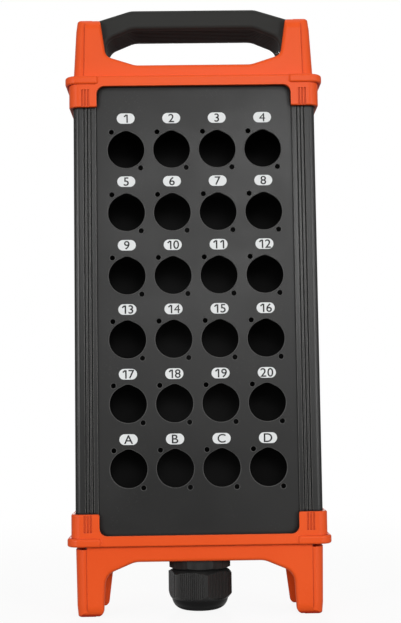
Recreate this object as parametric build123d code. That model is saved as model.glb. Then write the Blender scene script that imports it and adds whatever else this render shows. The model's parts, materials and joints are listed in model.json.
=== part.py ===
from build123d import *
from math import cos, radians, sin
import os

os.makedirs("parts", exist_ok=True)

# A hand-carried distribution box: two side rails and two flat panels make the
# body, and a moulded cap closes each end. The front panel is punched for
# twenty-four round panel connectors. The lower cap stands on two legs and
# carries the cable gland, and the upper cap's posts hold the handle.
# X runs across the box, Y from front to back and Z up, in millimetres. The
# origin is the middle of the footprint, on the plane that the legs stand on.

# Connector cut-outs
columns = 4
rows = 6
column_pitch = 30.0
row_pitch = 41.7
cutout_diameter = 24.0
peak_half_angle = 27.0
peak_radius = 5.6
fixing_spacing_x = 19.0
fixing_spacing_z = 24.0
fixing_hole_diameter = 3.2

# Body: panels slide into slots along the side rails. Its depth follows from
# the gland's collar, which sits between the walls of the lower cap.
side_margin = 19.6
end_margin = 44.75
panel_thickness = 2.0
slot_clearance = 0.05
slot_depth = 2.4
slot_end_gap = 0.3
lip_thickness = 1.0
hook_thickness = 1.6
hook_width = 4.2
rail_face_width = 15.0
rail_wall = 2.5
rail_corner_radius = 4.0
groove_count = 3
groove_width = 1.0
groove_depth = 0.6
groove_pitch = 2.25
groove_margin = 7.3

# Corner screws that hold the caps, and the ports in the rails that take them
cap_screw_diameter = 4.0
cap_screw_length = 16.0
cap_screw_side_inset = 7.7
cap_screw_face_inset = 10.0
cap_head_diameter = 7.0
cap_head_height = 2.2
driver_clearance = 0.25
port_clearance = 0.05
port_depth = 20.0
port_wall = 1.9
hole_clearance = 0.2
head_edge_share = 0.45
head_crown_share = 0.6
recess_length_share = 0.55
recess_width_share = 0.14

# End caps
gasket_thickness = 1.0
plate_thickness = 3.0
cap_clearance = 0.15
skirt_wall = 2.6
skirt_length = 17.6
skirt_edge_radius = 0.9
block_width = 18.45
window_radius = 5.0
window_lip_radius = 1.2
bar_overlap = 3.7
flange_height = 5.4
flange_side_proud = 2.5
flange_face_proud = 1.3
flange_corner_radius = 8.0
flange_edge_radius = 1.3
cap_groove_width = 1.2
cap_groove_depth = 0.5
cap_groove_length = 11.6
cap_groove_pitch = 1.95
cap_groove_margin = 5.4
platform_height = 7.0
platform_side_inset = 12.2
platform_wall = 1.9
platform_floor = 3.0
cavity_wall = 3.7

# Posts of the upper cap and legs of the lower one
trough_clearance = 0.3
post_side_proud = 0.4
post_face_thickness = 3.0
post_face_set_back = 2.8
post_face_inset = 7.5
post_side_wall = 4.2
post_corner_set_back = 0.7
post_corner_radius = 6.5
post_tip_radius = 1.2
post_edge_radius = 2.2
tip_taper_height = 7.0
tip_front_radius = 9.0
sole_thickness = 3.0
sole_inset = 12.8
leg_nut_clearance = 1.1
leg_draft = 0.8
leg_tip_taper = 0.7
leg_slot_height = 2.4
leg_arch_edge = 10.6
leg_arch_run = 18.9
leg_arch_rise = 7.9
leg_knee_inset = 19.5
leg_tip_inset = 18.2
leg_knee_radius = 10.0
leg_tip_inner_radius = 5.0
leg_rear_knee_inset = 22.0
leg_rear_tip_inset = 18.6
leg_rear_knee_radius = 3.0
leg_rear_tip_radius = 4.0
post_height = 40.1
post_draft = 2.0
post_tip_taper = 1.0
post_arch_edge = 9.0
post_arch_run = 19.6
post_arch_rise = 6.3
post_knee_inset = 21.9
post_tip_inset = 18.2
post_knee_radius = 6.0
post_tip_inner_radius = 2.5
arch_bend_radius = 15.0

# Handle
handle_rise = 41.3
handle_side_gap = 2.7
handle_leg_margin = 2.0
handle_leg_width = 7.6
handle_grip_thickness = 13.0
handle_top_run = 24.3
handle_top_drop = 7.6
handle_inner_run = 17.6
handle_inner_drop = 7.4
handle_bend_radius = 15.0
handle_shoulder_radius = 4.0
handle_inner_radius = 8.5
handle_top_edge_radius = 3.5
handle_inner_edge_radius = 2.5
handle_rib_count = 8
handle_rib_pitch = 3.0
handle_rib_gap = 1.2
handle_rib_depth = 0.5
handle_screw_diameter = 4.0
handle_screw_length = 12.0
handle_screw_inset = 7.5
handle_head_diameter = 7.0
handle_head_height = 2.6
handle_washer_diameter = 7.4
handle_washer_thickness = 1.0
insert_diameter = 5.4
insert_length = 10.0
insert_clearance = 0.02

# Cable gland
gland_thread_diameter = 32.0
gland_hole_clearance = 0.3
gland_fit_clearance = 0.05
spigot_length = 12.0
spigot_wall = 4.5
flat_seal_width = 3.0
flat_seal_thickness = 1.5
locknut_wall = 2.0
locknut_thickness = 5.5
collar_wall = 3.9
collar_sides = 8
collar_height = 8.7
collar_chamfer = 1.7
collar_chamfer_height = 0.8
neck_step = 0.6
neck_length = 14.0
claw_gap = 1.5
claw_step = 1.0
claw_wall = 1.9
claw_count = 12
claw_slot_width = 1.2
nut_gap = 0.8
nut_wall = 3.4
nut_turn = 13.0
nut_height = 25.9
nut_hex_height = 18.7
nut_top_chamfer = 2.6
nut_top_chamfer_run = 4.8
nut_low_chamfer = 4.5
nut_low_chamfer_run = 3.9
nut_edge_reach = 3.8
nut_thread_clearance = 0.1
nut_thread_length = 17.0
nut_throat_step = 0.6
nut_rib_pitch = 1.3
nut_rib_width = 0.7
nut_rib_height = 0.25
nut_rib_count = 13
dome_wall = 3.1
dome_radius = 8.0
mouth_step = 2.0
mouth_length = 3.9
mouth_chamfer = 1.0
insert_seal_gap = 0.1
seal_wall = 3.2
seal_clearance = 0.3
seal_rim_thickness = 1.4
seal_rim_clearance = 0.7
seal_length = 20.0

# Earth terminal on the inner face of the rear panel
earth_stud_diameter = 6.0
earth_stud_length = 20.0
earth_head_diameter = 9.0
earth_head_thickness = 1.0
earth_washer_diameter = 12.0
earth_washer_thickness = 1.2
earth_toothed_diameter = 11.0
earth_toothed_thickness = 0.8
earth_teeth = 12
earth_tooth_gap = 1.0
earth_nut_across_flats = 10.0
earth_nut_thickness = 5.0
earth_nut_count = 2
earth_thread_clearance = 0.05

# How far a cutting shape or a hidden joint runs past a face
margin = 1.0

# Lengths and places that follow from the values above
flat_seal_diameter = gland_thread_diameter + 2 * flat_seal_width
locknut_across_flats = gland_thread_diameter + 2 * locknut_wall
collar_across_flats = gland_thread_diameter + 2 * collar_wall
neck_diameter = gland_thread_diameter - 2 * neck_step
nut_across_flats = neck_diameter + 2 * nut_wall
nut_outer_radius = nut_across_flats / 2 + nut_edge_reach
dome_diameter = neck_diameter + 2 * dome_wall
claw_radius = neck_diameter / 2 - claw_step
seal_radius = claw_radius - claw_wall - seal_clearance
seal_bore_radius = seal_radius - seal_wall
mouth_radius = seal_bore_radius + mouth_step

trough_half_depth = collar_across_flats / 2 + trough_clearance
post_half_depth = trough_half_depth + post_face_thickness
face_half = post_half_depth + post_face_set_back
body_depth = 2 * face_half
seen_half = (columns - 1) * column_pitch / 2 + side_margin
body_length = (rows - 1) * row_pitch + 2 * end_margin
body_half = seen_half + rail_face_width
slot_bottom = seen_half + slot_depth
slot_width = panel_thickness + 2 * slot_clearance
panel_middle = face_half - lip_thickness - slot_width / 2
panel_inner_face = panel_middle - panel_thickness / 2
hook_inner = face_half - lip_thickness - slot_width - hook_thickness
screw_x = body_half - cap_screw_side_inset
screw_y = face_half - cap_screw_face_inset
screw_places = [(i * screw_x, j * screw_y) for i in (-1, 1) for j in (-1, 1)]

# Caps are drawn outwards from the middle of the body, so these are distances
# from that middle: the lower cap is the mirror image, stood on its legs.
rail_end = body_length / 2
seat = rail_end + gasket_thickness
cap_face = seat + plate_thickness
platform_top = cap_face + platform_height
skirt_half_x = body_half + cap_clearance + skirt_wall
skirt_half_y = face_half + cap_clearance + skirt_wall
window_half = skirt_half_x - block_width
post_side = body_half + post_side_proud
platform_half = post_side - platform_side_inset
cavity_half = platform_half - platform_wall
cavity_half_depth = post_half_depth - cavity_wall

# Cable gland levels, on the same scale
collar_top = platform_top + flat_seal_thickness
collar_end = collar_top + collar_height
nut_start = collar_end + nut_gap
nut_end = nut_start + nut_height
hex_end = nut_start + nut_hex_height
leg_height = nut_end + leg_nut_clearance - cap_face
middle_z = cap_face + leg_height
neck_end = collar_end + neck_length
shoulder = nut_end - mouth_length
bore_radius = gland_thread_diameter / 2 - spigot_wall
seal_rim_end = shoulder - insert_seal_gap
seal_rim_start = seal_rim_end - seal_rim_thickness
claw_end = seal_rim_start - claw_gap
nut_bore_radius = neck_diameter / 2 + nut_thread_clearance
nut_throat_radius = nut_bore_radius - nut_throat_step

handle_outer = platform_half - handle_leg_margin
handle_inner = handle_outer - handle_leg_width
handle_top = platform_top + handle_rise
handle_half_depth = trough_half_depth - handle_side_gap
handle_screw_x = (handle_outer + handle_inner) / 2
handle_screw_y = handle_half_depth - handle_screw_inset
handle_places = [(i * handle_screw_x, j * handle_screw_y) for i in (-1, 1) for j in (-1, 1)]


def block(x, y, z):
    """A box between two corners, each axis given as a (low, high) pair."""
    size = [high - low for low, high in (x, y, z)]
    middle = [(low + high) / 2 for low, high in (x, y, z)]
    return Pos(*middle) * Box(*size)


def strip(x, y):
    """A rectangle between two corners."""
    return Pos(sum(x) / 2, sum(y) / 2) * Rectangle(x[1] - x[0], y[1] - y[0])


def prism(sketch, low, high):
    return Pos(0, 0, low) * extrude(sketch, amount=high - low)


def rod(diameter, low, high, x=0, y=0):
    return Pos(x, y, (low + high) / 2) * Cylinder(diameter / 2, high - low)


def outline(points):
    return make_face(Polyline(*points, close=True))


def turned(points):
    """A solid of revolution about Z from a closed list of (radius, height)."""
    return revolve(Plane.XZ * outline(points), Axis.Z)


def across(sketch, low, high):
    """An upright profile drawn in X and Z, carried along Y from low to high."""
    return Pos(0, high, 0) * Rot(90, 0, 0) * extrude(sketch, amount=high - low)


def both_ways(shape):
    return shape + mirror(shape, Plane.YZ)


def round_corners(face, corners):
    """Rounds the corners of a flat profile, given as (x, y, radius)."""
    for x, y, radius in corners:
        corner = face.vertices().sort_by_distance(Vector(x, y, 0))[0]
        face = fillet(corner, radius)
    return face


def upper(shape):
    return Pos(0, 0, middle_z) * shape


def lower(shape):
    return Pos(0, 0, middle_z) * mirror(shape, Plane.XY)


def save(shape, name):
    export_step(shape, f"parts/{name}.step")


# Body

def rail():
    """The right-hand rail: a channel with a slot and a hook at each edge."""
    section = RectangleRounded(2 * body_half, body_depth, rail_corner_radius)
    section &= strip((seen_half, body_half), (-face_half, face_half))
    section -= strip((seen_half, body_half - rail_wall), (-hook_inner, hook_inner))
    wide = face_half - rail_wall
    section -= strip((seen_half + hook_width, body_half - rail_wall), (-wide, wide))
    for side in (-1, 1):
        middle = side * panel_middle
        section -= strip((seen_half, slot_bottom), (middle - slot_width / 2, middle + slot_width / 2))
        for k in range(groove_count):
            inset = groove_margin + k * groove_pitch
            front = Pos(body_half - inset, side * face_half) * Rectangle(groove_width, 2 * groove_depth)
            outer = Pos(body_half, side * (face_half - inset)) * Rectangle(2 * groove_depth, groove_width)
            section -= front + outer
    port = cap_screw_diameter / 2 + port_clearance
    web = strip((screw_x, body_half - rail_wall / 2), (screw_y - port, screw_y + port))
    boss = Pos(screw_x, screw_y) * Circle(port + port_wall) + web
    section += boss + mirror(boss, Plane.XZ)
    solid = prism(section, -rail_end, rail_end)
    for y in (-screw_y, screw_y):
        for end in (-rail_end, rail_end - port_depth):
            solid -= rod(2 * port, end, end + port_depth, screw_x, y)
    return solid


def connector_cutouts():
    """Round openings with a low peak at the top, and two fixing holes each."""
    radius = cutout_diameter / 2
    angle = radians(peak_half_angle)
    apex = radius / cos(angle)
    peak = outline([(-radius * sin(angle), radius * cos(angle)), (0, apex),
                    (radius * sin(angle), radius * cos(angle)), (0, 0)])
    opening = Circle(radius) + round_corners(peak, [(0, apex, peak_radius)])
    for side in (-1, 1):
        place = Pos(side * fixing_spacing_x / 2, -side * fixing_spacing_z / 2)
        opening += place * Circle(fixing_hole_diameter / 2)
    grid = GridLocations(column_pitch, row_pitch, columns, rows)
    return Sketch() + [place * opening for place in grid]


def panel(y):
    half_width = slot_bottom - slot_end_gap
    faces = (y - panel_thickness / 2, y + panel_thickness / 2)
    return block((-half_width, half_width), faces, (-rail_end, rail_end))


def front_panel():
    return panel(-panel_middle) - across(connector_cutouts(), -face_half, -hook_inner)


# Caps

def flange():
    """Corner blocks that stand proud of the skirt, with the bar between them."""
    half_x = skirt_half_x + flange_side_proud
    half_y = skirt_half_y + flange_face_proud
    shape = RectangleRounded(2 * half_x, 2 * half_y, flange_corner_radius)
    deep = skirt_half_y - skirt_wall / 2
    step = half_y - deep
    notch = outline([(-window_half, half_y), (window_half, half_y),
                     (window_half - step, deep), (step - window_half, deep)])
    shape -= notch + mirror(notch, Plane.XZ)
    solid = prism(shape, cap_face - flange_height, cap_face)
    rims = solid.faces().filter_by(Axis.Z).edges()
    return fillet(rims, flange_edge_radius)


def skirt():
    """The sleeve that fits over the body, open on the panels between its corners."""
    low = seat - skirt_length
    radius = rail_corner_radius + cap_clearance + skirt_wall
    solid = prism(RectangleRounded(2 * skirt_half_x, 2 * skirt_half_y, radius), low, cap_face)
    solid = fillet(solid.faces().filter_by(Axis.Z).edges(), skirt_edge_radius)
    window_top = seat - bar_overlap
    window = strip((-window_half, window_half), (low, window_top))
    window = round_corners(window, [(x, window_top, window_radius) for x in (-window_half, window_half)])
    ear = strip((window_half, window_half + window_lip_radius), (low, low + window_lip_radius))
    ear -= Pos(window_half + window_lip_radius, low + window_lip_radius) * Circle(window_lip_radius)
    window += both_ways(ear)
    solid -= across(window, -skirt_half_y, skirt_half_y)
    for k in range(groove_count):
        x = window_half + cap_groove_margin + k * cap_groove_pitch
        for y in (-skirt_half_y, skirt_half_y):
            cut = block((x - cap_groove_width / 2, x + cap_groove_width / 2),
                        (y - cap_groove_depth, y + cap_groove_depth), (low, low + cap_groove_length))
            solid -= both_ways(cut)
    return solid


def wall_profile(height, draft, edge, run, rise, knee_inset, tip_inset, knee_radius, tip_radius):
    """The outline of a wall: an arch between two posts, drawn in X and Z."""
    side = post_side - post_face_inset
    tip = cap_face + height
    arch = cap_face + edge
    knee = post_side - knee_inset
    inner = post_side - tip_inset
    half = [(side, seat), (side - draft / 2, tip), (inner, tip), (knee, arch + rise), (knee - run, arch)]
    profile = outline(half + [(-x, z) for x, z in reversed(half)])
    corners = []
    for s in (-1, 1):
        corners += [(s * inner, tip, tip_radius), (s * knee, arch + rise, knee_radius),
                    (s * (knee - run), arch, arch_bend_radius)]
    return round_corners(profile, corners)


def post_wall(profile):
    """A wall of a cap on the front side, with the edge of its arch rounded."""
    solid = across(profile, -post_half_depth, -trough_half_depth)
    edges = solid.faces().sort_by(Axis.Y)[0].edges()
    side = post_side - post_face_inset - margin
    rim = [e for e in edges if e.center().Z > cap_face + margin and abs(e.center().X) < side]
    return fillet(rim, min(post_edge_radius, 0.8 * post_face_thickness))


def post_shell(height, draft, tip_taper):
    """Rounded outer corners of both posts, hollow, with a sole at the tip."""
    tip = cap_face + height
    depth = post_half_depth - post_corner_set_back
    waist = tip - tip_taper_height
    sections = []
    for level, inset in ((cap_face - margin, 0), (waist, draft), (tip, draft + tip_taper)):
        radius = post_corner_radius - inset / 2
        rounded = RectangleRounded(2 * (post_side - inset), 2 * depth - inset / 2, radius)
        sections.append(Pos(0, 0, level) * rounded)
    solid = loft(sections, ruled=True)
    solid = fillet(solid.faces().sort_by(Axis.Z)[-1].edges(), post_tip_radius)
    inner = post_side - post_face_inset - 2 * margin
    solid -= block((-inner, inner), (-depth, depth), (cap_face - margin, tip))
    hollow = post_side - post_side_wall
    trough = (-trough_half_depth, trough_half_depth)
    solid -= block((-hollow, hollow), trough, (cap_face, tip - sole_thickness))
    sole = block((post_side - sole_inset, inner), trough, (tip - sole_thickness, tip))
    return solid + both_ways(sole)


def tip_rounding(height):
    """What the front of both posts loses where it curves back to the tip."""
    tip = cap_face + height
    start = tip - tip_taper_height
    middle = tip_front_radius - post_half_depth
    cut = strip((-post_half_depth - margin, middle), (start, tip + margin))
    cut -= Pos(middle, start) * Circle(tip_front_radius)
    cut &= strip((-post_half_depth - margin, -trough_half_depth + margin), (start, tip))
    return Plane.YZ * extrude(cut, amount=post_side, both=True)


def cap(height, draft, tip_taper, front, rear):
    """One moulded end cap, from its two walls, without its handle or gland holes."""
    tip = cap_face + height
    posts = front + mirror(rear, Plane.XZ) + post_shell(height, draft, tip_taper)
    rounding = tip_rounding(height)
    posts -= rounding + mirror(rounding, Plane.XZ)
    solid = skirt() + flange() + posts
    deep = trough_half_depth + post_face_thickness / 4
    solid += block((-platform_half, platform_half), (-deep, deep), (seat, platform_top))
    gap = 2 * cap_clearance
    sleeve = RectangleRounded(2 * body_half + gap, body_depth + gap, rail_corner_radius + cap_clearance)
    solid -= prism(sleeve, seat - skirt_length, seat)
    solid -= block((-cavity_half, cavity_half), (-cavity_half_depth, cavity_half_depth),
                   (seat, platform_top - platform_floor))
    for x, y in screw_places:
        solid -= rod(cap_screw_diameter + 2 * hole_clearance, seat, cap_face, x, y)
        solid -= rod(cap_head_diameter + 2 * driver_clearance, cap_face, tip, x, y)
    return solid


def top_cap():
    wall = post_wall(wall_profile(post_height, post_draft, post_arch_edge, post_arch_run, post_arch_rise,
                                  post_knee_inset, post_tip_inset, post_knee_radius, post_tip_inner_radius))
    solid = cap(post_height, post_draft, post_tip_taper, wall, wall)
    hole = handle_screw_diameter + 2 * hole_clearance
    for x, y in handle_places:
        solid -= rod(hole, platform_top - platform_floor, platform_top, x, y)
    return solid


def bottom_cap():
    """The rear wall's legs reach further in, on the same arch. A slot parts the
    outside of each leg from the flange, over the heads of the corner screws."""
    front = wall_profile(leg_height, leg_draft, leg_arch_edge, leg_arch_run, leg_arch_rise,
                         leg_knee_inset, leg_tip_inset, leg_knee_radius, leg_tip_inner_radius)
    step = leg_rear_knee_inset - leg_knee_inset
    rear_rise = leg_arch_rise * (1 - step / leg_arch_run)
    rear = wall_profile(leg_height, leg_draft, leg_arch_edge, leg_arch_run - step, rear_rise,
                        leg_rear_knee_inset, leg_rear_tip_inset, leg_rear_knee_radius, leg_rear_tip_radius)
    solid = cap(leg_height, leg_draft, leg_tip_taper, post_wall(front), post_wall(rear))
    slot = block((post_side - post_face_inset, post_side + margin), (-face_half, face_half),
                 (cap_face, cap_face + leg_slot_height))
    solid -= both_ways(slot)
    hole = gland_thread_diameter + 2 * gland_hole_clearance
    return solid - rod(hole, platform_top - platform_floor, platform_top)


def gasket():
    """The flat ring between a cap and the ends of the rails and panels."""
    ring = RectangleRounded(2 * body_half, body_depth, rail_corner_radius)
    ring -= Rectangle(2 * cavity_half, 2 * cavity_half_depth)
    for x, y in screw_places:
        ring -= Pos(x, y) * Circle(cap_screw_diameter / 2 + hole_clearance)
    return prism(ring, rail_end, seat)


def pan_screw(diameter, length, head_diameter, head_height):
    """A round-headed screw with a cross recess; its head stands on z = 0."""
    edge = head_height * head_edge_share
    radius = head_diameter / 2
    head = turned([(0, 0), (radius, 0), (radius, edge), (radius * head_crown_share, head_height),
                   (0, head_height)])
    long = radius * recess_length_share
    half = radius * recess_width_share
    for x, y in ((long, half), (half, long)):
        head -= block((-x, x), (-y, y), (edge, head_height))
    return head + rod(diameter, -length, 0)


def cap_screws():
    screw = pan_screw(cap_screw_diameter, cap_screw_length, cap_head_diameter, cap_head_height)
    return Compound([Pos(x, y, cap_face) * screw for x, y in screw_places])


# Handle

def grip_edges(solid, gap, around_gap):
    """The long edges of the handle, either round its gap or round its outside."""
    chosen = []
    for face in solid.faces().filter_by(Axis.Y):
        for edge in face.edges():
            wall = Pos(0, edge.center().Y, 0) * Rot(90, 0, 0) * gap
            touches = edge.distance_to(wall) < slot_clearance
            if edge.center().Z > platform_top + margin and touches == around_gap:
                chosen.append(edge)
    return chosen


def handle():
    """A bow with two legs; grooves run along the inside of its grip."""
    top = [(handle_outer, platform_top), (handle_outer, handle_top - handle_top_drop),
           (handle_outer - handle_top_run, handle_top)]
    grip = handle_top - handle_grip_thickness
    gap = [(handle_inner, platform_top), (handle_inner, grip - handle_inner_drop),
           (handle_inner - handle_inner_run, grip)]
    outer = outline(top + [(-x, z) for x, z in reversed(top)])
    inner = outline(gap + [(-x, z) for x, z in reversed(gap)])
    for s in (-1, 1):
        outer = round_corners(outer, [(s * top[1][0], top[1][1], handle_shoulder_radius),
                                      (s * top[2][0], top[2][1], handle_bend_radius)])
        inner = round_corners(inner, [(s * gap[1][0], gap[1][1], handle_inner_radius),
                                      (s * gap[2][0], gap[2][1], handle_bend_radius)])
    solid = across(outer - inner, -handle_half_depth, handle_half_depth)
    solid = fillet(grip_edges(solid, inner, False), handle_top_edge_radius)
    solid = fillet(grip_edges(solid, inner, True), handle_inner_edge_radius)
    wider = offset(inner, amount=handle_rib_depth, kind=Kind.INTERSECTION)
    for k in range(handle_rib_count):
        y = (k - (handle_rib_count - 1) / 2) * handle_rib_pitch
        solid -= across(wider, y - handle_rib_gap / 2, y + handle_rib_gap / 2)
    for x, y in handle_places:
        solid -= rod(insert_diameter, platform_top, platform_top + insert_length, x, y)
    return solid


def handle_inserts():
    bore = handle_screw_diameter + 2 * port_clearance
    outside = insert_diameter - 2 * insert_clearance
    ring = rod(outside, 0, insert_length) - rod(bore, 0, insert_length)
    return Compound([Pos(x, y, platform_top) * ring for x, y in handle_places])


def handle_washers():
    bore = handle_screw_diameter + 2 * hole_clearance
    low = -handle_washer_thickness
    ring = rod(handle_washer_diameter, low, 0) - rod(bore, low, 0)
    under = platform_top - platform_floor
    return Compound([Pos(x, y, under) * ring for x, y in handle_places])


def handle_screws():
    screw = pan_screw(handle_screw_diameter, handle_screw_length,
                      handle_head_diameter, handle_head_height)
    screw = mirror(screw, Plane.XY)
    under = platform_top - platform_floor - handle_washer_thickness
    return Compound([Pos(x, y, under) * screw for x, y in handle_places])


# Cable gland

def gland_body():
    """Threaded spigot, eight-sided collar, neck and the ring of claws."""
    spigot_start = collar_top - spigot_length
    solid = rod(gland_thread_diameter, spigot_start, collar_end)
    flat = collar_across_flats / 2
    side_angle = 180 / collar_sides
    corner = flat / cos(radians(side_angle))
    chamfer_start = collar_end - collar_chamfer_height
    run = (corner - flat) * collar_chamfer_height / collar_chamfer
    polygon = RegularPolygon(flat, collar_sides, major_radius=False, rotation=side_angle)
    form = turned([(0, collar_top), (corner, collar_top), (corner, chamfer_start - run),
                   (flat, chamfer_start), (flat - collar_chamfer, collar_end), (0, collar_end)])
    solid += prism(polygon, collar_top, collar_end) & form
    solid += rod(neck_diameter, collar_end, neck_end)
    claws = rod(2 * claw_radius, neck_end, claw_end)
    half = claw_slot_width / 2
    for k in range(claw_count):
        slot = block((0, neck_diameter / 2), (-half, half), (neck_end, claw_end))
        claws -= Rot(0, 0, (k + 0.5) * 360 / claw_count) * slot
    solid += claws
    solid -= rod(2 * bore_radius, spigot_start, collar_end)
    return solid - rod(2 * (seal_radius + seal_clearance), collar_end, claw_end)


def gland_flat_seal():
    bore = gland_thread_diameter + 2 * gland_fit_clearance
    return rod(flat_seal_diameter, platform_top, collar_top) - rod(bore, platform_top, collar_top)


def gland_locknut():
    high = platform_top - platform_floor
    low = high - locknut_thickness
    flat = locknut_across_flats / 2
    wide = flat + locknut_thickness
    nut = prism(RegularPolygon(flat, 6, major_radius=False), low, high)
    nut &= turned([(0, low), (flat, low), (wide, (low + high) / 2), (wide, high), (0, high)])
    return nut - rod(gland_thread_diameter + 2 * gland_fit_clearance, low, high)


def gland_seal():
    """The rubber sleeve that closes on the cable, with a rim under the nut's shoulder."""
    start = seal_rim_end - seal_length
    solid = rod(2 * seal_radius, start, seal_rim_end)
    solid += rod(2 * (nut_throat_radius - seal_rim_clearance), seal_rim_start, seal_rim_end)
    return solid - rod(2 * seal_bore_radius, start, seal_rim_end)


def gland_nut():
    """A ribbed six-sided nut that runs into a round dome with the cable mouth."""
    flat = nut_across_flats / 2
    hexagon = RegularPolygon(flat, 6, major_radius=False)
    rib = Pos(flat, 0) * Rectangle(2 * nut_rib_height, nut_rib_width)
    first = -(nut_rib_count - 1) / 2 * nut_rib_pitch
    row = Sketch() + [Pos(0, first + k * nut_rib_pitch) * rib for k in range(nut_rib_count)]
    for k in range(6):
        hexagon += Rot(0, 0, 30 + 60 * k) * row
    hexagon = Rot(0, 0, nut_turn - 90) * hexagon
    wide = nut_outer_radius
    form = turned([(0, nut_start), (wide - nut_top_chamfer_run, nut_start),
                   (wide, nut_start + nut_top_chamfer), (wide, hex_end - nut_low_chamfer),
                   (wide - nut_low_chamfer_run, hex_end), (0, hex_end)])
    solid = prism(hexagon, nut_start, hex_end) & form
    dome = rod(dome_diameter, hex_end - nut_low_chamfer, nut_end)
    solid += fillet(dome.faces().sort_by(Axis.Z)[-1].edges(), dome_radius)
    thread_end = nut_start + nut_thread_length
    bore = turned([(0, nut_start), (nut_bore_radius, nut_start), (nut_bore_radius, thread_end),
                   (nut_throat_radius, shoulder), (mouth_radius, shoulder),
                   (mouth_radius, nut_end - mouth_chamfer),
                   (mouth_radius + mouth_chamfer, nut_end), (0, nut_end)])
    return solid - bore


# Earth terminal

def on_rear_panel(shape):
    """Turns a piece drawn along +Z to point forwards from the rear panel."""
    return Pos(0, panel_inner_face, middle_z) * Rot(90, 0, 0) * shape


def earth_stud():
    head = rod(earth_head_diameter, 0, earth_head_thickness)
    return head + rod(earth_stud_diameter, 0, earth_stud_length)


def earth_hole(low, high):
    return rod(earth_stud_diameter + 2 * earth_thread_clearance, low, high)


def earth_washers():
    low = earth_head_thickness
    high = low + earth_washer_thickness
    flat = rod(earth_washer_diameter, low, high) - earth_hole(low, high)
    top = high + earth_toothed_thickness
    toothed = rod(earth_toothed_diameter, high, top) - earth_hole(high, top)
    edge = earth_toothed_diameter / 2
    half = earth_tooth_gap / 2
    notch = block((edge - earth_tooth_gap, edge), (-half, half), (high, top))
    for k in range(earth_teeth):
        toothed -= Rot(0, 0, k * 360 / earth_teeth) * notch
    return Compound([flat, toothed])


def earth_nuts():
    start = earth_head_thickness + earth_washer_thickness + earth_toothed_thickness
    nuts = []
    for k in range(earth_nut_count):
        low = start + k * earth_nut_thickness
        high = low + earth_nut_thickness
        hexagon = RegularPolygon(earth_nut_across_flats / 2, 6, major_radius=False)
        nuts.append(prism(hexagon, low, high) - earth_hole(low, high))
    return Compound(nuts)


right_rail = rail()
save(Pos(0, 0, middle_z) * right_rail, "right_rail")
save(Pos(0, 0, middle_z) * mirror(right_rail, Plane.YZ), "left_rail")
save(Pos(0, 0, middle_z) * front_panel(), "front_panel")
save(Pos(0, 0, middle_z) * panel(panel_middle), "rear_panel")
save(upper(gasket()), "top_gasket")
save(lower(gasket()), "bottom_gasket")
save(upper(top_cap()), "top_cap")
save(lower(bottom_cap()), "bottom_cap")
save(upper(cap_screws()), "top_cap_screws")
save(lower(cap_screws()), "bottom_cap_screws")
save(upper(handle()), "handle")
save(upper(handle_inserts()), "handle_inserts")
save(upper(handle_washers()), "handle_washers")
save(upper(handle_screws()), "handle_screws")
save(lower(gland_body()), "gland_body")
save(lower(gland_flat_seal()), "gland_flat_seal")
save(lower(gland_locknut()), "gland_locknut")
save(lower(gland_seal()), "gland_seal")
save(lower(gland_nut()), "gland_nut")
save(on_rear_panel(earth_stud()), "earth_stud")
save(on_rear_panel(earth_washers()), "earth_washers")
save(on_rear_panel(earth_nuts()), "earth_nuts")
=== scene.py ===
import json
import math
import bpy
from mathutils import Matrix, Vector


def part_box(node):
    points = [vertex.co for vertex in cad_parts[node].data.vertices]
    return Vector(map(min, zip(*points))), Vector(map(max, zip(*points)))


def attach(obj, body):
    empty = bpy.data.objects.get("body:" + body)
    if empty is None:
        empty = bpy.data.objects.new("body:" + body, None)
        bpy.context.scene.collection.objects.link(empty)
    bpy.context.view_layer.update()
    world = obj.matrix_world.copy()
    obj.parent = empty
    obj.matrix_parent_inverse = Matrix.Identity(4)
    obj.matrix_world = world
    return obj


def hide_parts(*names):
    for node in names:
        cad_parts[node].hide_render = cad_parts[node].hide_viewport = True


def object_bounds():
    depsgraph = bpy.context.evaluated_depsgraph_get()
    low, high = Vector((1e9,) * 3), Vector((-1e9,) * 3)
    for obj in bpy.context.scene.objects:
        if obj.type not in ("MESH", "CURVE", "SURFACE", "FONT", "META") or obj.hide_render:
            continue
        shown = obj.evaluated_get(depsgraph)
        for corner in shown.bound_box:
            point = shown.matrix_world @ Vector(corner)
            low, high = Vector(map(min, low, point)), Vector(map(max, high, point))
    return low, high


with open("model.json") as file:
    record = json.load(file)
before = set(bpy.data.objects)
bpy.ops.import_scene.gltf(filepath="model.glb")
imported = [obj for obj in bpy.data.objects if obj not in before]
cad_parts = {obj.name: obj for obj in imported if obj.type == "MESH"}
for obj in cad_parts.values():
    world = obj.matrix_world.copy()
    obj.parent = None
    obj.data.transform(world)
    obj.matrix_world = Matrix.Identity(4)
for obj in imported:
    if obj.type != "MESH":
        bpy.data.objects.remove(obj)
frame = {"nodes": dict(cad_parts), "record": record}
cadLow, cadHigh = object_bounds()
print("frame loaded:", len(frame["nodes"]), "nodes")


# Small helpers for building by hand

def deselectAll():
    if bpy.context.object and bpy.context.object.mode != "OBJECT":
        bpy.ops.object.mode_set(mode="OBJECT")
    bpy.ops.object.select_all(action="DESELECT")


def pick(*pieces):
    deselectAll()
    for piece in pieces:
        piece.select_set(True)
    bpy.context.view_layer.objects.active = pieces[0]


def settle(piece):
    # place, turn and scale go into the mesh, so the object sits at the origin
    pick(piece)
    bpy.ops.object.transform_apply(location=True, rotation=True, scale=True)


def applyModifier(piece, kind, **settings):
    pick(piece)
    modifier = piece.modifiers.new(kind.title(), kind)
    for name, value in settings.items():
        setattr(modifier, name, value)
    bpy.ops.object.modifier_apply(modifier=modifier.name)


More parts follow.
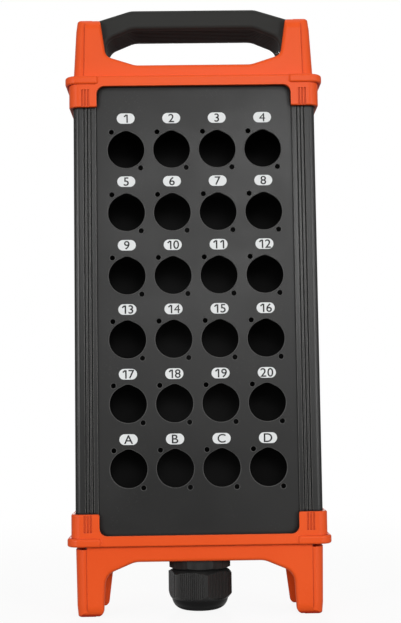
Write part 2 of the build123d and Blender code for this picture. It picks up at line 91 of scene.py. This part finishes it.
def addBox(name, low, high):
    deselectAll()
    bpy.ops.mesh.primitive_cube_add(size=1, location=(low + high) / 2)
    box = bpy.context.object
    box.name = name
    box.scale = high - low
    settle(box)
    return box


def copyAt(source, name, offset):
    twin = source.copy()
    twin.data = source.data.copy()
    twin.name = name
    bpy.context.collection.objects.link(twin)
    twin.location = offset
    settle(twin)
    return twin


def joinAll(pieces):
    pick(*pieces)
    bpy.ops.object.join()
    return bpy.context.object


# Shader groups that several finishes share

def startGroup(name, inputs, outputs):
    tree = bpy.data.node_groups.new(name, "ShaderNodeTree")
    for label, kind, value in inputs:
        socket = tree.interface.new_socket(name=label, in_out="INPUT", socket_type="NodeSocket" + kind)
        if value is not None:
            socket.default_value = value
    for label, kind in outputs:
        tree.interface.new_socket(name=label, in_out="OUTPUT", socket_type="NodeSocket" + kind)
    return tree, tree.nodes.new("NodeGroupInput"), tree.nodes.new("NodeGroupOutput")


def addNode(tree, kind, **settings):
    node = tree.nodes.new("ShaderNode" + kind)
    for name, value in settings.items():
        setattr(node, name, value)
    return node


def calculate(tree, operation, first, second=None, clamp=False):
    node = addNode(tree, "Math", operation=operation, use_clamp=clamp)
    for socket, value in zip(node.inputs, (first, second)):
        if hasattr(value, "links"):
            tree.links.new(value, socket)
        elif value is not None:
            socket.default_value = value
    return node.outputs[0]


def noiseAt(tree, vector, scale, detail=2.0, roughness=0.5, distortion=0.0):
    noise = addNode(tree, "TexNoise")
    tree.links.new(vector, noise.inputs["Vector"])
    if hasattr(scale, "links"):
        tree.links.new(scale, noise.inputs["Scale"])
    else:
        noise.inputs["Scale"].default_value = scale
    noise.inputs["Detail"].default_value = detail
    noise.inputs["Roughness"].default_value = roughness
    noise.inputs["Distortion"].default_value = distortion
    return noise.outputs[0]


def rangeOf(tree, value, low, high, newLow=0.0, newHigh=1.0):
    node = addNode(tree, "MapRange", interpolation_type="SMOOTHSTEP")
    tree.links.new(value, node.inputs["Value"])
    numbers = {"From Min": low, "From Max": high, "To Min": newLow, "To Max": newHigh}
    for label, number in numbers.items():
        if hasattr(number, "links"):
            tree.links.new(number, node.inputs[label])
        else:
            node.inputs[label].default_value = number
    return node.outputs[0]


# in these dictionaries a noise is its detail, roughness and distortion
grainLook = {
    "fineNoise": (3.0, 0.6), "fineShare": 0.65,
    "coarseScale": 0.37, "coarseNoise": (1.0, 0.5), "coarseShare": 0.35,
    "driftScale": 14.0, "driftNoise": (3.0, 0.55, 0.4), "toneRange": (0.3, 0.7),
}


def makeGrainGroup():
    # the sparked texture of a mould, and slow drifts of tone across a piece
    look = grainLook
    inputs = [("Vector", "Vector", None), ("Fineness", "Float", 1300.0)]
    tree, start, end = startGroup("mouldGrain", inputs, [("Height", "Float"), ("Tone", "Float")])
    vector, fineness = start.outputs[0], start.outputs[1]
    fine = noiseAt(tree, vector, fineness, *look["fineNoise"])
    coarseness = calculate(tree, "MULTIPLY", fineness, look["coarseScale"])
    coarse = noiseAt(tree, vector, coarseness, *look["coarseNoise"])
    fine = calculate(tree, "MULTIPLY", fine, look["fineShare"])
    coarse = calculate(tree, "MULTIPLY", coarse, look["coarseShare"])
    drift = noiseAt(tree, vector, look["driftScale"], *look["driftNoise"])
    tree.links.new(calculate(tree, "ADD", fine, coarse), end.inputs[0])
    tree.links.new(rangeOf(tree, drift, *look["toneRange"]), end.inputs[1])
    return tree


drawnLook = {
    "stretch": (1.0, 1.0, 0.012), "lineNoise": (2.0, 0.6),
    "broadScale": 160.0, "broadNoise": (2.0, 0.5), "toneRange": (0.3, 0.7),
}


def makeDrawnGroup():
    # faint lines along Z, as a die leaves them on a drawn profile
    look = drawnLook
    inputs = [("Vector", "Vector", None), ("Density", "Float", 900.0)]
    tree, start, end = startGroup("drawnLines", inputs, [("Height", "Float"), ("Tone", "Float")])
    stretch = addNode(tree, "VectorMath", operation="MULTIPLY")
    tree.links.new(start.outputs[0], stretch.inputs[0])
    stretch.inputs[1].default_value = look["stretch"]
    lines = noiseAt(tree, stretch.outputs[0], start.outputs[1], *look["lineNoise"])
    broad = noiseAt(tree, stretch.outputs[0], look["broadScale"], *look["broadNoise"])
    tree.links.new(lines, end.inputs[0])
    tree.links.new(rangeOf(tree, broad, *look["toneRange"]), end.inputs[1])
    return tree


edgeLook = {"samples": 8, "bendRange": (0.01, 0.16)}


def makeEdgeGroup():
    # a softened normal at sharp edges, a mask of those edges and one of the inner corners, from
    # occlusion; the finishes use the masks to paint light along the edges and paint shade into the inner
    # corners
    look = edgeLook
    inputs = [("Radius", "Float", 0.0004), ("Reach", "Float", 0.003),
              ("Open", "Float", 0.85), ("Shut", "Float", 0.35)]
    outputs = [("Normal", "Vector"), ("Edge", "Float"), ("Corner", "Float")]
    tree, start, end = startGroup("edgeAndCorner", inputs, outputs)
    bevel = addNode(tree, "Bevel", samples=look["samples"])
    tree.links.new(start.outputs[0], bevel.inputs["Radius"])
    geometry = addNode(tree, "NewGeometry")
    compare = addNode(tree, "VectorMath", operation="DOT_PRODUCT")
    tree.links.new(bevel.outputs[0], compare.inputs[0])
    tree.links.new(geometry.outputs["Normal"], compare.inputs[1])
    bend = calculate(tree, "SUBTRACT", 1.0, compare.outputs["Value"])
    edge = rangeOf(tree, bend, *look["bendRange"])
    shade = addNode(tree, "AmbientOcclusion", samples=look["samples"])
    tree.links.new(start.outputs[1], shade.inputs["Distance"])
    corner = rangeOf(tree, shade.outputs["AO"], start.outputs[2], start.outputs[3])
    inTheOpen = calculate(tree, "SUBTRACT", 1.0, corner)
    tree.links.new(bevel.outputs[0], end.inputs[0])
    tree.links.new(calculate(tree, "MULTIPLY", edge, inTheOpen), end.inputs[1])
    tree.links.new(corner, end.inputs[2])
    return tree


dustLook = {
    "facing": (0.45, 0.95), "patchScale": 60.0, "patchNoise": (5.0, 0.65), "patchRange": (0.3, 0.75),
    "colour": (0.42, 0.41, 0.39), "roughness": 0.15,
}


def makeDustGroup():
    # a thin uneven film on what faces up
    look = dustLook
    tree, start, end = startGroup("settledDust", [("Vector", "Vector", None)], [("Mask", "Float")])
    geometry = addNode(tree, "NewGeometry")
    split = addNode(tree, "SeparateXYZ")
    tree.links.new(geometry.outputs["Normal"], split.inputs[0])
    up = rangeOf(tree, split.outputs["Z"], *look["facing"])
    patches = noiseAt(tree, start.outputs[0], look["patchScale"], *look["patchNoise"])
    patches = rangeOf(tree, patches, *look["patchRange"])
    tree.links.new(calculate(tree, "MULTIPLY", up, patches), end.inputs[0])
    return tree


scuffLook = {
    "layers": ((0.5, 0.0), (1.9, 3.1)), "tilts": (1.0, 0.7, 1.3),
    "scratchScale": (900.0, 28.0, 900.0), "scratchRange": (0.70, 0.78),
    "patchScale": 35.0, "patchNoise": (3.0, 0.6), "patchRange": (0.6, 0.75), "spreadShare": 0.2,
}


def makeScuffGroup():
    # short fine scratches in patches, from handling
    look = scuffLook
    inputs = [("Vector", "Vector", None), ("Spread", "Float", 0.5)]
    tree, start, end = startGroup("handlingScuffs", inputs, [("Mask", "Float")])
    lines = None
    for turn, shift in look["layers"]:
        place = addNode(tree, "Mapping")
        tree.links.new(start.outputs[0], place.inputs["Vector"])
        place.inputs["Rotation"].default_value = [turn * tilt for tilt in look["tilts"]]
        place.inputs["Location"].default_value = (shift, shift, shift)
        place.inputs["Scale"].default_value = look["scratchScale"]
        streak = noiseAt(tree, place.outputs[0], 1.0, 0.0)
        streak = rangeOf(tree, streak, *look["scratchRange"])
        lines = streak if lines is None else calculate(tree, "MAXIMUM", lines, streak)
    spread = calculate(tree, "MULTIPLY", start.outputs[1], look["spreadShare"])
    patches = noiseAt(tree, start.outputs[0], look["patchScale"], *look["patchNoise"])
    patches = rangeOf(tree, calculate(tree, "ADD", patches, spread), *look["patchRange"])
    tree.links.new(calculate(tree, "MULTIPLY", lines, patches), end.inputs[0])
    return tree


groups = {"grain": makeGrainGroup(), "drawn": makeDrawnGroup(), "edge": makeEdgeGroup(),
          "dust": makeDustGroup(), "scuff": makeScuffGroup()}


# Finishes

def useGroup(tree, kind, vector=None, **values):
    node = tree.nodes.new("ShaderNodeGroup")
    node.node_tree = groups[kind]
    if vector is not None:
        tree.links.new(vector, node.inputs["Vector"])
    for label, value in values.items():
        node.inputs[label].default_value = value
    return node


def tint(tree, colour, other, mask, amount):
    # colour moves towards other by amount where the mask is 1
    node = addNode(tree, "Mix", data_type="RGBA")
    tree.links.new(calculate(tree, "MULTIPLY", mask, amount), node.inputs[0])
    for socket, value in ((node.inputs[6], colour), (node.inputs[7], other)):
        if hasattr(value, "links"):
            tree.links.new(value, socket)
        else:
            socket.default_value = (*value, 1)
    return node.outputs[2]


def makeFinish(name, look):
    material = bpy.data.materials.new(name)
    material.use_nodes = True
    tree = material.node_tree
    shader = tree.nodes["Principled BSDF"]
    place = addNode(tree, "TexCoord").outputs["Object"]
    grain = useGroup(tree, look["texture"], place, **{look["textureInput"]: look["fineness"]})
    edges = useGroup(tree, "edge", Radius=look["softEdge"], Reach=look["cornerReach"],
                     Open=look["cornerOpen"], Shut=look["cornerShut"])
    dust = useGroup(tree, "dust", place)
    scuffs = useGroup(tree, "scuff", place, Spread=look["scuffSpread"])
    colour = tint(tree, look["colour"], look["otherTone"], grain.outputs["Tone"], 1.0)
    # painted shade in inner corners, creases and recesses, where the occlusion mask is high
    colour = tint(tree, colour, look["paintedCornerShade"], edges.outputs["Corner"], look["paintedCornerShadeAmount"])
    # painted highlight along sharp edges, lighter than the face on most finishes and a little darker on
    # the white ink
    colour = tint(tree, colour, look["paintedEdgeColour"], edges.outputs["Edge"], look["paintedEdgeAmount"])
    colour = tint(tree, colour, look["scuffColour"], scuffs.outputs["Mask"], look["scuffAmount"])
    colour = tint(tree, colour, dustLook["colour"], dust.outputs["Mask"], look["dustAmount"])
    if "paintedFarShade" in look:
        # painted shade past a place along one axis: the inside face of the rear panel and the dome under
        # the gland nut
        axis = addNode(tree, "SeparateXYZ")
        tree.links.new(place, axis.inputs[0])
        far = rangeOf(tree, axis.outputs[look["farAxis"]], *look["farFrom"])
        colour = tint(tree, colour, look["paintedFarShade"], far, 1.0)
    tree.links.new(colour, shader.inputs["Base Color"])
    rough = calculate(tree, "MULTIPLY_ADD", grain.outputs["Tone"], look["roughSpread"])
    rough.node.inputs[2].default_value = look["roughness"]
    cornerRough = calculate(tree, "MULTIPLY", edges.outputs["Corner"], look["cornerRough"])
    dustRough = calculate(tree, "MULTIPLY", dust.outputs["Mask"], dustLook["roughness"])
    rough = calculate(tree, "ADD", rough, cornerRough)
    rough = calculate(tree, "ADD", rough, dustRough, clamp=True)
    tree.links.new(rough, shader.inputs["Roughness"])
    bump = addNode(tree, "Bump")
    bump.inputs["Strength"].default_value = look["grainStrength"]
    bump.inputs["Distance"].default_value = look["grainDepth"]
    tree.links.new(grain.outputs["Height"], bump.inputs["Height"])
    tree.links.new(edges.outputs["Normal"], bump.inputs["Normal"])
    tree.links.new(bump.outputs[0], shader.inputs["Normal"])
    shader.inputs["Metallic"].default_value = look["metallic"]
    shader.inputs["Specular IOR Level"].default_value = look["specular"]
    return material


# what a finish has where its own line says nothing else, with lengths in metres
plainFinish = {
    "texture": "grain", "textureInput": "Fineness", "fineness": 1300.0,
    "grainStrength": 0.5, "grainDepth": 0.00006,
    "softEdge": 0.0005, "paintedEdgeAmount": 0.3,
    "cornerReach": 0.005, "cornerOpen": 0.9, "cornerShut": 0.4, "paintedCornerShadeAmount": 0.5, "cornerRough": 0.6,
    "roughness": 0.45, "roughSpread": 0.08, "metallic": 0.0, "specular": 0.25,
    "scuffSpread": 0.5, "scuffAmount": 0.1, "scuffColour": (0.3, 0.3, 0.3), "dustAmount": 0.04,
}
finishLooks = {
    "cap_orange": {
        "colour": (0.82, 0.091, 0.0145), "otherTone": (0.86, 0.101, 0.017),
        "paintedEdgeColour": (0.93, 0.20, 0.07), "paintedEdgeAmount": 0.3,
        "cornerReach": 0.0028, "cornerOpen": 0.88, "cornerShut": 0.4,
        "paintedCornerShade": (0.46, 0.024, 0.005), "paintedCornerShadeAmount": 0.95, "cornerRough": 0.4,
        "scuffColour": (0.90, 0.20, 0.09), "scuffAmount": 0.10, "roughness": 0.30, "specular": 0.18,
    },
    "panel_black": {
        "colour": (0.0078, 0.0078, 0.0074), "otherTone": (0.0105, 0.0105, 0.0100), "fineness": 2000.0,
        "paintedEdgeColour": (0.10, 0.10, 0.098), "paintedEdgeAmount": 0.4, "grainDepth": 0.00003, "softEdge": 0.00015,
        "paintedCornerShade": (0.002, 0.002, 0.002), "roughness": 0.33, "specular": 0.34,
        "scuffColour": (0.05, 0.05, 0.05), "scuffAmount": 0.2,
    },
    # the bevelled rims of the openings, a lighter grey as a painted highlight
    "panel_rim_painted_highlight": {
        "colour": (0.055, 0.055, 0.054), "otherTone": (0.075, 0.075, 0.073), "fineness": 2000.0,
        "paintedEdgeColour": (0.13, 0.13, 0.128), "grainDepth": 0.00003, "softEdge": 0.00015,
        "paintedCornerShade": (0.03, 0.03, 0.03), "roughness": 0.4, "specular": 0.3,
        "scuffColour": (0.05, 0.05, 0.05), "scuffAmount": 0.1,
    },
    "rear_black": {
        "colour": (0.012, 0.012, 0.0115), "otherTone": (0.015, 0.015, 0.0144), "fineness": 2000.0,
        "paintedEdgeColour": (0.13, 0.13, 0.128), "paintedEdgeAmount": 0.5, "grainDepth": 0.00003,
        "paintedCornerShade": (0.004, 0.004, 0.004), "roughness": 0.6, "specular": 0.10,
        "farAxis": "Y", "farFrom": (0.0238, 0.0230), "paintedFarShade": (0.0035, 0.0035, 0.0035),
        "scuffColour": (0.05, 0.05, 0.05), "scuffAmount": 0.1,
    },
    "rail_black": {
        "texture": "drawn", "textureInput": "Density", "fineness": 900.0, "grainDepth": 0.00002,
        "colour": (0.010, 0.010, 0.0096), "otherTone": (0.014, 0.014, 0.0133),
        "paintedEdgeColour": (0.24, 0.24, 0.23), "paintedEdgeAmount": 0.85, "softEdge": 0.0005,
        "paintedCornerShade": (0.002, 0.002, 0.002), "paintedCornerShadeAmount": 1.0, "cornerReach": 0.0022,
        "cornerOpen": 0.9, "cornerShut": 0.6,
        "roughness": 0.30, "specular": 0.38, "scuffColour": (0.07, 0.07, 0.07), "scuffAmount": 0.2,
    },
    "handle_grey": {
        "colour": (0.026, 0.0262, 0.0245), "otherTone": (0.031, 0.0312, 0.0292), "fineness": 1100.0,
        "paintedEdgeColour": (0.07, 0.07, 0.065), "paintedEdgeAmount": 0.2,
        "paintedCornerShade": (0.021, 0.013, 0.012), "paintedCornerShadeAmount": 0.5, "cornerRough": 0.2,
        "roughness": 0.52, "specular": 0.14,
        "scuffColour": (0.07, 0.07, 0.065), "scuffAmount": 0.2,
    },
    "gland_black": {
        "colour": (0.016, 0.0158, 0.0152), "otherTone": (0.027, 0.0267, 0.0258), "fineness": 900.0,
        "texture": "drawn", "textureInput": "Density", "grainDepth": 0.00002, "grainStrength": 0.25,
        "paintedEdgeColour": (0.10, 0.10, 0.096), "paintedEdgeAmount": 0.4, "softEdge": 0.00015,
        "paintedCornerShade": (0.002, 0.002, 0.002), "paintedCornerShadeAmount": 0.9,
        "cornerReach": 0.005, "cornerOpen": 0.95, "cornerShut": 0.6,
        "farAxis": "Z", "farFrom": (0.0105, 0.0085), "paintedFarShade": (0.0012, 0.0012, 0.0012),
        "roughness": 0.24, "roughSpread": 0.05, "specular": 0.28,
    },
    "gasket_rubber": {
        "colour": (0.012, 0.012, 0.012), "otherTone": (0.016, 0.016, 0.016),
        "paintedEdgeColour": (0.03, 0.03, 0.03), "paintedCornerShade": (0.004, 0.004, 0.004), "roughness": 0.75,
        "roughSpread": 0.1, "specular": 0.2, "softEdge": 0.0002,
    },
    "steel_screws": {
        "texture": "drawn", "textureInput": "Density", "fineness": 2500.0, "grainDepth": 0.00001,
        "colour": (0.78, 0.78, 0.79), "otherTone": (0.70, 0.71, 0.73), "paintedEdgeColour": (0.85, 0.85, 0.86),
        "paintedCornerShade": (0.3, 0.29, 0.28), "paintedCornerShadeAmount": 0.3, "roughness": 0.3, "metallic": 1.0,
        "softEdge": 0.00015, "cornerReach": 0.001, "scuffColour": (0.8, 0.8, 0.8),
    },
    "brass": {
        "texture": "drawn", "textureInput": "Density", "fineness": 2500.0, "grainDepth": 0.00001,
        "colour": (0.72, 0.50, 0.22), "otherTone": (0.64, 0.42, 0.17), "paintedEdgeColour": (0.86, 0.66, 0.36),
        "paintedCornerShade": (0.20, 0.11, 0.04), "paintedCornerShadeAmount": 0.8, "roughness": 0.3, "metallic": 1.0,
        "softEdge": 0.00015, "cornerReach": 0.001, "scuffColour": (0.8, 0.65, 0.4),
    },
    "whiteInk": {
        "colour": (0.74, 0.755, 0.755), "otherTone": (0.78, 0.795, 0.795), "grainDepth": 0.00001,
        "paintedEdgeColour": (0.66, 0.67, 0.67), "paintedCornerShade": (0.5, 0.5, 0.5), "paintedCornerShadeAmount": 0.1,
        "roughness": 0.45, "softEdge": 0.00005, "scuffAmount": 0.0, "dustAmount": 0.0,
    },
    "blackInk": {
        "colour": (0.008, 0.008, 0.009), "otherTone": (0.012, 0.012, 0.013), "grainDepth": 0.00001,
        "paintedEdgeColour": (0.02, 0.02, 0.02), "paintedCornerShade": (0.01, 0.01, 0.01), "paintedCornerShadeAmount": 0.0,
        "roughness": 0.5, "softEdge": 0.00005, "scuffAmount": 0.0, "dustAmount": 0.0,
    },
}
finishes = {name: makeFinish(name, {**plainFinish, **look}) for name, look in finishLooks.items()}
print("finishes made:", len(finishes))

for part in frame["record"]["subparts"]:
    node = frame["nodes"][part["node"]]
    finish = "rear_black" if part["node"] == "rear_panel" else part["material_slot"]
    for slot in node.material_slots:
        slot.material = finishes[finish]


# Front panel, with its openings cut and their rims broken

frontPanelLook = {
    "openingSegments": 96, "peakHalfAngle": math.radians(27), "peakRadius": 0.0056,
    "fixingSegments": 28, "fixingSpacing": (0.019, 0.024),
    "rimBevel": 0.00045, "rimSegments": 3, "rimAngle": math.radians(50), "smoothAngle": math.radians(35),
    "cutDepth": 3, "borderBevels": 2,  # in thicknesses of the panel and in widths of the bevel
}
cutouts = [mount for mount in frame["record"]["mounts"] if mount["name"].startswith("cutout")]
cutouts.sort(key=lambda mount: (-mount["pos_m"][2], mount["pos_m"][0]))
openingRadius = cutouts[0]["dims"]["r_mm"] / 1000
fixings = [mount for mount in frame["record"]["mounts"] if mount["name"].startswith("fixing")]
fixingRadius = fixings[0]["dims"]["hole_r_mm"] / 1000


def rimRadius(angle):
    # from straight up: a rounded peak, a flat down each side of it, then the circle
    half, peak = frontPanelLook["peakHalfAngle"], frontPanelLook["peakRadius"]
    if angle > half:
        return openingRadius
    middle = (openingRadius - peak) / math.cos(half)
    if angle > math.atan2(peak * math.sin(half), middle + peak * math.cos(half)):
        return openingRadius / math.cos(half - angle)
    return middle * math.cos(angle) + math.sqrt(peak ** 2 - (middle * math.sin(angle)) ** 2)


def makeCutter(name, radius, segments, depth):
    deselectAll()
    bpy.ops.mesh.primitive_cylinder_add(vertices=segments, radius=radius, depth=depth,
                                        rotation=(math.pi / 2, 0, 0))
    cutter = bpy.context.object
    cutter.name = name
    settle(cutter)
    return cutter


def makeFrontPanel():
    look = frontPanelLook
    low, high = (Vector(corner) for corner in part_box("front_panel"))
    panel = addBox("frontPanelPlate", low, high)
    depth = (high.y - low.y) * look["cutDepth"]
    opening = makeCutter("opening", openingRadius, look["openingSegments"], depth)
    for vertex in opening.data.vertices:
        angle = abs(math.atan2(vertex.co.x, vertex.co.z))
        stretch = rimRadius(angle) / openingRadius
        vertex.co.x *= stretch
        vertex.co.z *= stretch
    hole = makeCutter("fixingHole", fixingRadius, look["fixingSegments"], depth)
    cutters = []
    for mount in cutouts:
        centre = Vector(mount["pos_m"])
        cutters.append(copyAt(opening, "cut", centre))
        for side in (-1, 1):
            x, z = (spacing / 2 for spacing in look["fixingSpacing"])
            cutters.append(copyAt(hole, "cut", centre + Vector((side * x, 0, -side * z))))
    cutter = joinAll(cutters)
    applyModifier(panel, "BOOLEAN", operation="DIFFERENCE", object=cutter, solver="EXACT")
    for spare in (cutter, opening, hole):
        bpy.data.objects.remove(spare)
    panel.data.materials.append(finishes["panel_black"])
    panel.data.materials.append(finishes["panel_rim_painted_highlight"])
    pick(panel)
    bpy.ops.object.shade_smooth_by_angle(angle=look["smoothAngle"])
    applyModifier(panel, "BEVEL", width=look["rimBevel"], segments=look["rimSegments"], material=1,
                  limit_method="ANGLE", angle_limit=look["rimAngle"], harden_normals=True,
                  use_clamp_overlap=False)
    # only the rims of the holes get the painted highlight, and the plate's own border stays as its face
    border = look["rimBevel"] * look["borderBevels"]
    for face in panel.data.polygons:
        x, z = face.center.x, face.center.z
        if min(x - low.x, high.x - x, z - low.z, high.z - z) < border:
            face.material_index = 0
    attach(panel, "housing")
    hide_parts("front_panel")
    return panel


frontPanel = makeFrontPanel()
print("front panel cut:", len(frontPanel.data.polygons), "faces")


# Printed numbers and letters on white pills, one above each opening

labelLook = {
    "width": 0.0118, "height": 0.0070, "segments": 32, "topRise": 0.0210, "rowPitch": 0.04209,
    "thickness": 0.00004, "letterHeight": 0.0056, "letterWidth": 1.06, "letterPitch": 0.0045,
    "letterWeight": 0.009, "letterRise": 0.00003, "letters": "ABCD",
    "flagLength": 0.26, "flagSlope": math.radians(40), "flagShift": (-0.36, -0.40), "tiny": 1e-6,
}


def makePill():
    look = labelLook
    deselectAll()
    bpy.ops.mesh.primitive_circle_add(vertices=look["segments"], radius=look["height"] / 2,
                                      fill_type="NGON", rotation=(math.pi / 2, 0, 0))
    pill = bpy.context.object
    pill.name = "pill"
    settle(pill)
    shift = (look["width"] - look["height"]) / 2
    for vertex in pill.data.vertices:
        if abs(vertex.co.x) > look["tiny"]:
            vertex.co.x += math.copysign(shift, vertex.co.x)
    applyModifier(pill, "SOLIDIFY", thickness=look["thickness"], offset=1)
    pill.data.materials.append(finishes["whiteInk"])
    return pill


def makeGlyph(character, name):
    look = labelLook
    deselectAll()
    bpy.ops.object.text_add(rotation=(math.pi / 2, 0, 0))
    glyph = bpy.context.object
    glyph.data.body = "I" if character == "1" else character
    glyph.data.extrude = look["letterRise"]
    # the font's own 4 closes up when it is made bolder
    glyph.data.offset = 0 if character == "4" else look["letterWeight"]
    pick(glyph)
    bpy.ops.object.convert(target="MESH")
    settle(glyph)
    if character == "1":
        # the stroke at the top left of the stem
        corners = [vertex.co for vertex in glyph.data.vertices]
        high = max(corners, key=lambda place: (place.z, -place.x))
        stem = max(corner.x for corner in corners) - high.x
        reach = Vector((look["flagLength"] / 2, look["letterRise"], stem / 2))
        flag = addBox("flag", -reach, reach)
        flag.rotation_euler.y = -look["flagSlope"]
        across, up = (shift * look["flagLength"] for shift in look["flagShift"])
        flag.location = (high.x + across, 0, high.z + up)
        settle(flag)
        glyph = joinAll([glyph, flag])
    glyph.name = name
    heights = [vertex.co.z for vertex in glyph.data.vertices]
    sides = [vertex.co.x for vertex in glyph.data.vertices]
    size = look["letterHeight"] / (max(heights) - min(heights))
    middle = Vector(((max(sides) + min(sides)) / 2, 0, (max(heights) + min(heights)) / 2))
    for vertex in glyph.data.vertices:
        vertex.co = (vertex.co - middle) * size
        vertex.co.x *= look["letterWidth"]
        vertex.co.y = math.copysign(look["letterRise"], vertex.co.y)
    return glyph


def makeLetters(text, name):
    look = labelLook
    glyphs = [makeGlyph(character, name) for character in text]
    for k, glyph in enumerate(glyphs):
        glyph.location.x = (k - (len(glyphs) - 1) / 2) * look["letterPitch"]
        settle(glyph)
    letters = joinAll(glyphs) if len(glyphs) > 1 else glyphs[0]
    letters.data.materials.append(finishes["blackInk"])
    return letters


def makeLabels():
    look = labelLook
    pill = makePill()
    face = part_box("front_panel")[0][1]
    numbers = len(cutouts) - len(look["letters"])
    texts = [str(k + 1) for k in range(numbers)] + list(look["letters"])
    top = cutouts[0]["pos_m"][2] + look["topRise"]
    rows = sorted({mount["pos_m"][2] for mount in cutouts}, reverse=True)
    for text, mount in zip(texts, cutouts):
        x, _, z = mount["pos_m"]
        place = Vector((x, face, top - rows.index(z) * look["rowPitch"]))
        plate = copyAt(pill, "numberLabel" + text, place)
        letters = makeLetters(text, "letters" + text)
        letters.location = place - Vector((0, look["thickness"], 0))
        settle(letters)
        label = joinAll([plate, letters])
        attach(label, "housing")
    bpy.data.objects.remove(pill)
    return texts


print("labels printed:", len(makeLabels()))


# Stage, light and camera

stageLook = {
    "floorSize": 60.0, "floorLevel": 0.12, "floorSeen": 0.9,
    "shadowReach": (0.16, 0.75), "whiteShare": (0.91, 1.0),
    "glossReach": (0.35, 1.1), "floorInGloss": (0.4, 0.1),
    "skyLevel": 0.24, "skyInGloss": 0.1,
    "lampAim": (0, 0, 0.2),
    "lamps": [
        {"name": "leftBox", "place": (-1.6, -2.0, 0.45), "size": (0.6, 0.8), "power": 22.0},
        {"name": "rightBox", "place": (1.6, -2.0, 0.45), "size": (0.6, 0.8), "power": 22.0},
        {"name": "leftSide", "place": (-2.3, -1.0, 0.4), "size": (0.5, 0.7), "power": 7.5},
        {"name": "rightSide", "place": (2.3, -1.0, 0.4), "size": (0.5, 0.7), "power": 8.0},
        {"name": "frontLamp", "place": (0.2, -2.8, 0.74), "size": (0.7, 0.5), "power": 16.0},
        {"name": "topLamp", "place": (0.1, 0.1, 1.5), "size": (1.0, 1.0), "power": 2.5},
        {"name": "backLamp", "place": (0, 2.6, 1.0), "size": (0.5, 0.8), "power": 40.0},
    ],
}
cameraLook = {
    "place": (-0.0074, -0.77255, 0.1352), "turn": (94.577, 0.798, -0.698),  # degrees
    "lens": 66.6, "nearest": 0.01,  # millimetres and metres
}


def whiteToCamera(tree, whiteInGloss):
    # 1 for what the camera sees straight or through glass, and less in a gloss
    path = addNode(tree, "LightPath")
    gloss = calculate(tree, "MULTIPLY", path.outputs["Is Glossy Ray"], whiteInGloss)
    seen = calculate(tree, "MAXIMUM", path.outputs["Is Camera Ray"], gloss)
    return calculate(tree, "MAXIMUM", seen, path.outputs["Is Transmission Ray"])


def makeStage():
    look = stageLook
    deselectAll()
    bpy.ops.mesh.primitive_plane_add(size=look["floorSize"], location=(0, 0, cadLow.z))
    floor = bpy.context.object
    floor.name = "floor"
    settle(floor)
    material = bpy.data.materials.new("paleFloor")
    material.use_nodes = True
    tree = material.node_tree
    tree.nodes.remove(tree.nodes["Principled BSDF"])
    matt = addNode(tree, "BsdfDiffuse")
    # the camera sees a pale floor, which throws less light back at the object
    path = addNode(tree, "LightPath")
    lift = look["floorSeen"] - look["floorLevel"]
    pale = calculate(tree, "MULTIPLY_ADD", path.outputs["Is Camera Ray"], lift)
    pale.node.inputs[2].default_value = look["floorLevel"]
    tree.links.new(pale, matt.inputs["Color"])
    glow = addNode(tree, "Emission")
    mix = addNode(tree, "MixShader")
    # the floor whitens away from the object, so that its far edge melts into the backdrop
    distance = addNode(tree, "VectorMath", operation="LENGTH")
    tree.links.new(addNode(tree, "TexCoord").outputs["Object"], distance.inputs[0])
    white = rangeOf(tree, distance.outputs["Value"], *look["shadowReach"], *look["whiteShare"])
    near = rangeOf(tree, distance.outputs["Value"], *look["glossReach"], *look["floorInGloss"])
    share = calculate(tree, "MULTIPLY", whiteToCamera(tree, near), white)
    tree.links.new(share, mix.inputs[0])
    tree.links.new(matt.outputs[0], mix.inputs[1])
    tree.links.new(glow.outputs[0], mix.inputs[2])
    tree.links.new(mix.outputs[0], tree.nodes["Material Output"].inputs["Surface"])
    floor.data.materials.append(material)

    world = bpy.data.worlds.new("softSky")
    world.use_nodes = True
    bpy.context.scene.world = world
    tree = world.node_tree
    sky = tree.nodes["Background"]
    sky.inputs["Color"].default_value = (1, 1, 1, 1)
    white = whiteToCamera(tree, look["skyInGloss"])
    level = calculate(tree, "MULTIPLY_ADD", white, 1 - look["skyLevel"])
    level.node.inputs[2].default_value = look["skyLevel"]
    tree.links.new(level, sky.inputs["Strength"])

    for lamp in look["lamps"]:
        deselectAll()
        bpy.ops.object.light_add(type="AREA", location=lamp["place"])
        light = bpy.context.object
        light.name = lamp["name"]
        light.data.shape = "RECTANGLE"
        light.data.size, light.data.size_y = lamp["size"]
        light.data.energy = lamp["power"]
        light.visible_camera = False
        aim = Vector(look["lampAim"]) - Vector(lamp["place"])
        light.rotation_euler = aim.to_track_quat("-Z", "Y").to_euler()


def makeCamera():
    look = cameraLook
    turn = [math.radians(angle) for angle in look["turn"]]
    deselectAll()
    bpy.ops.object.camera_add(location=look["place"], rotation=turn)
    camera = bpy.context.object
    camera.name = "frontCamera"
    camera.data.lens = look["lens"]
    camera.data.clip_start = look["nearest"]
    bpy.context.scene.camera = camera


makeStage()
makeCamera()
bpy.context.scene.view_settings.view_transform = "Standard"
print("stage, lamps and camera set")
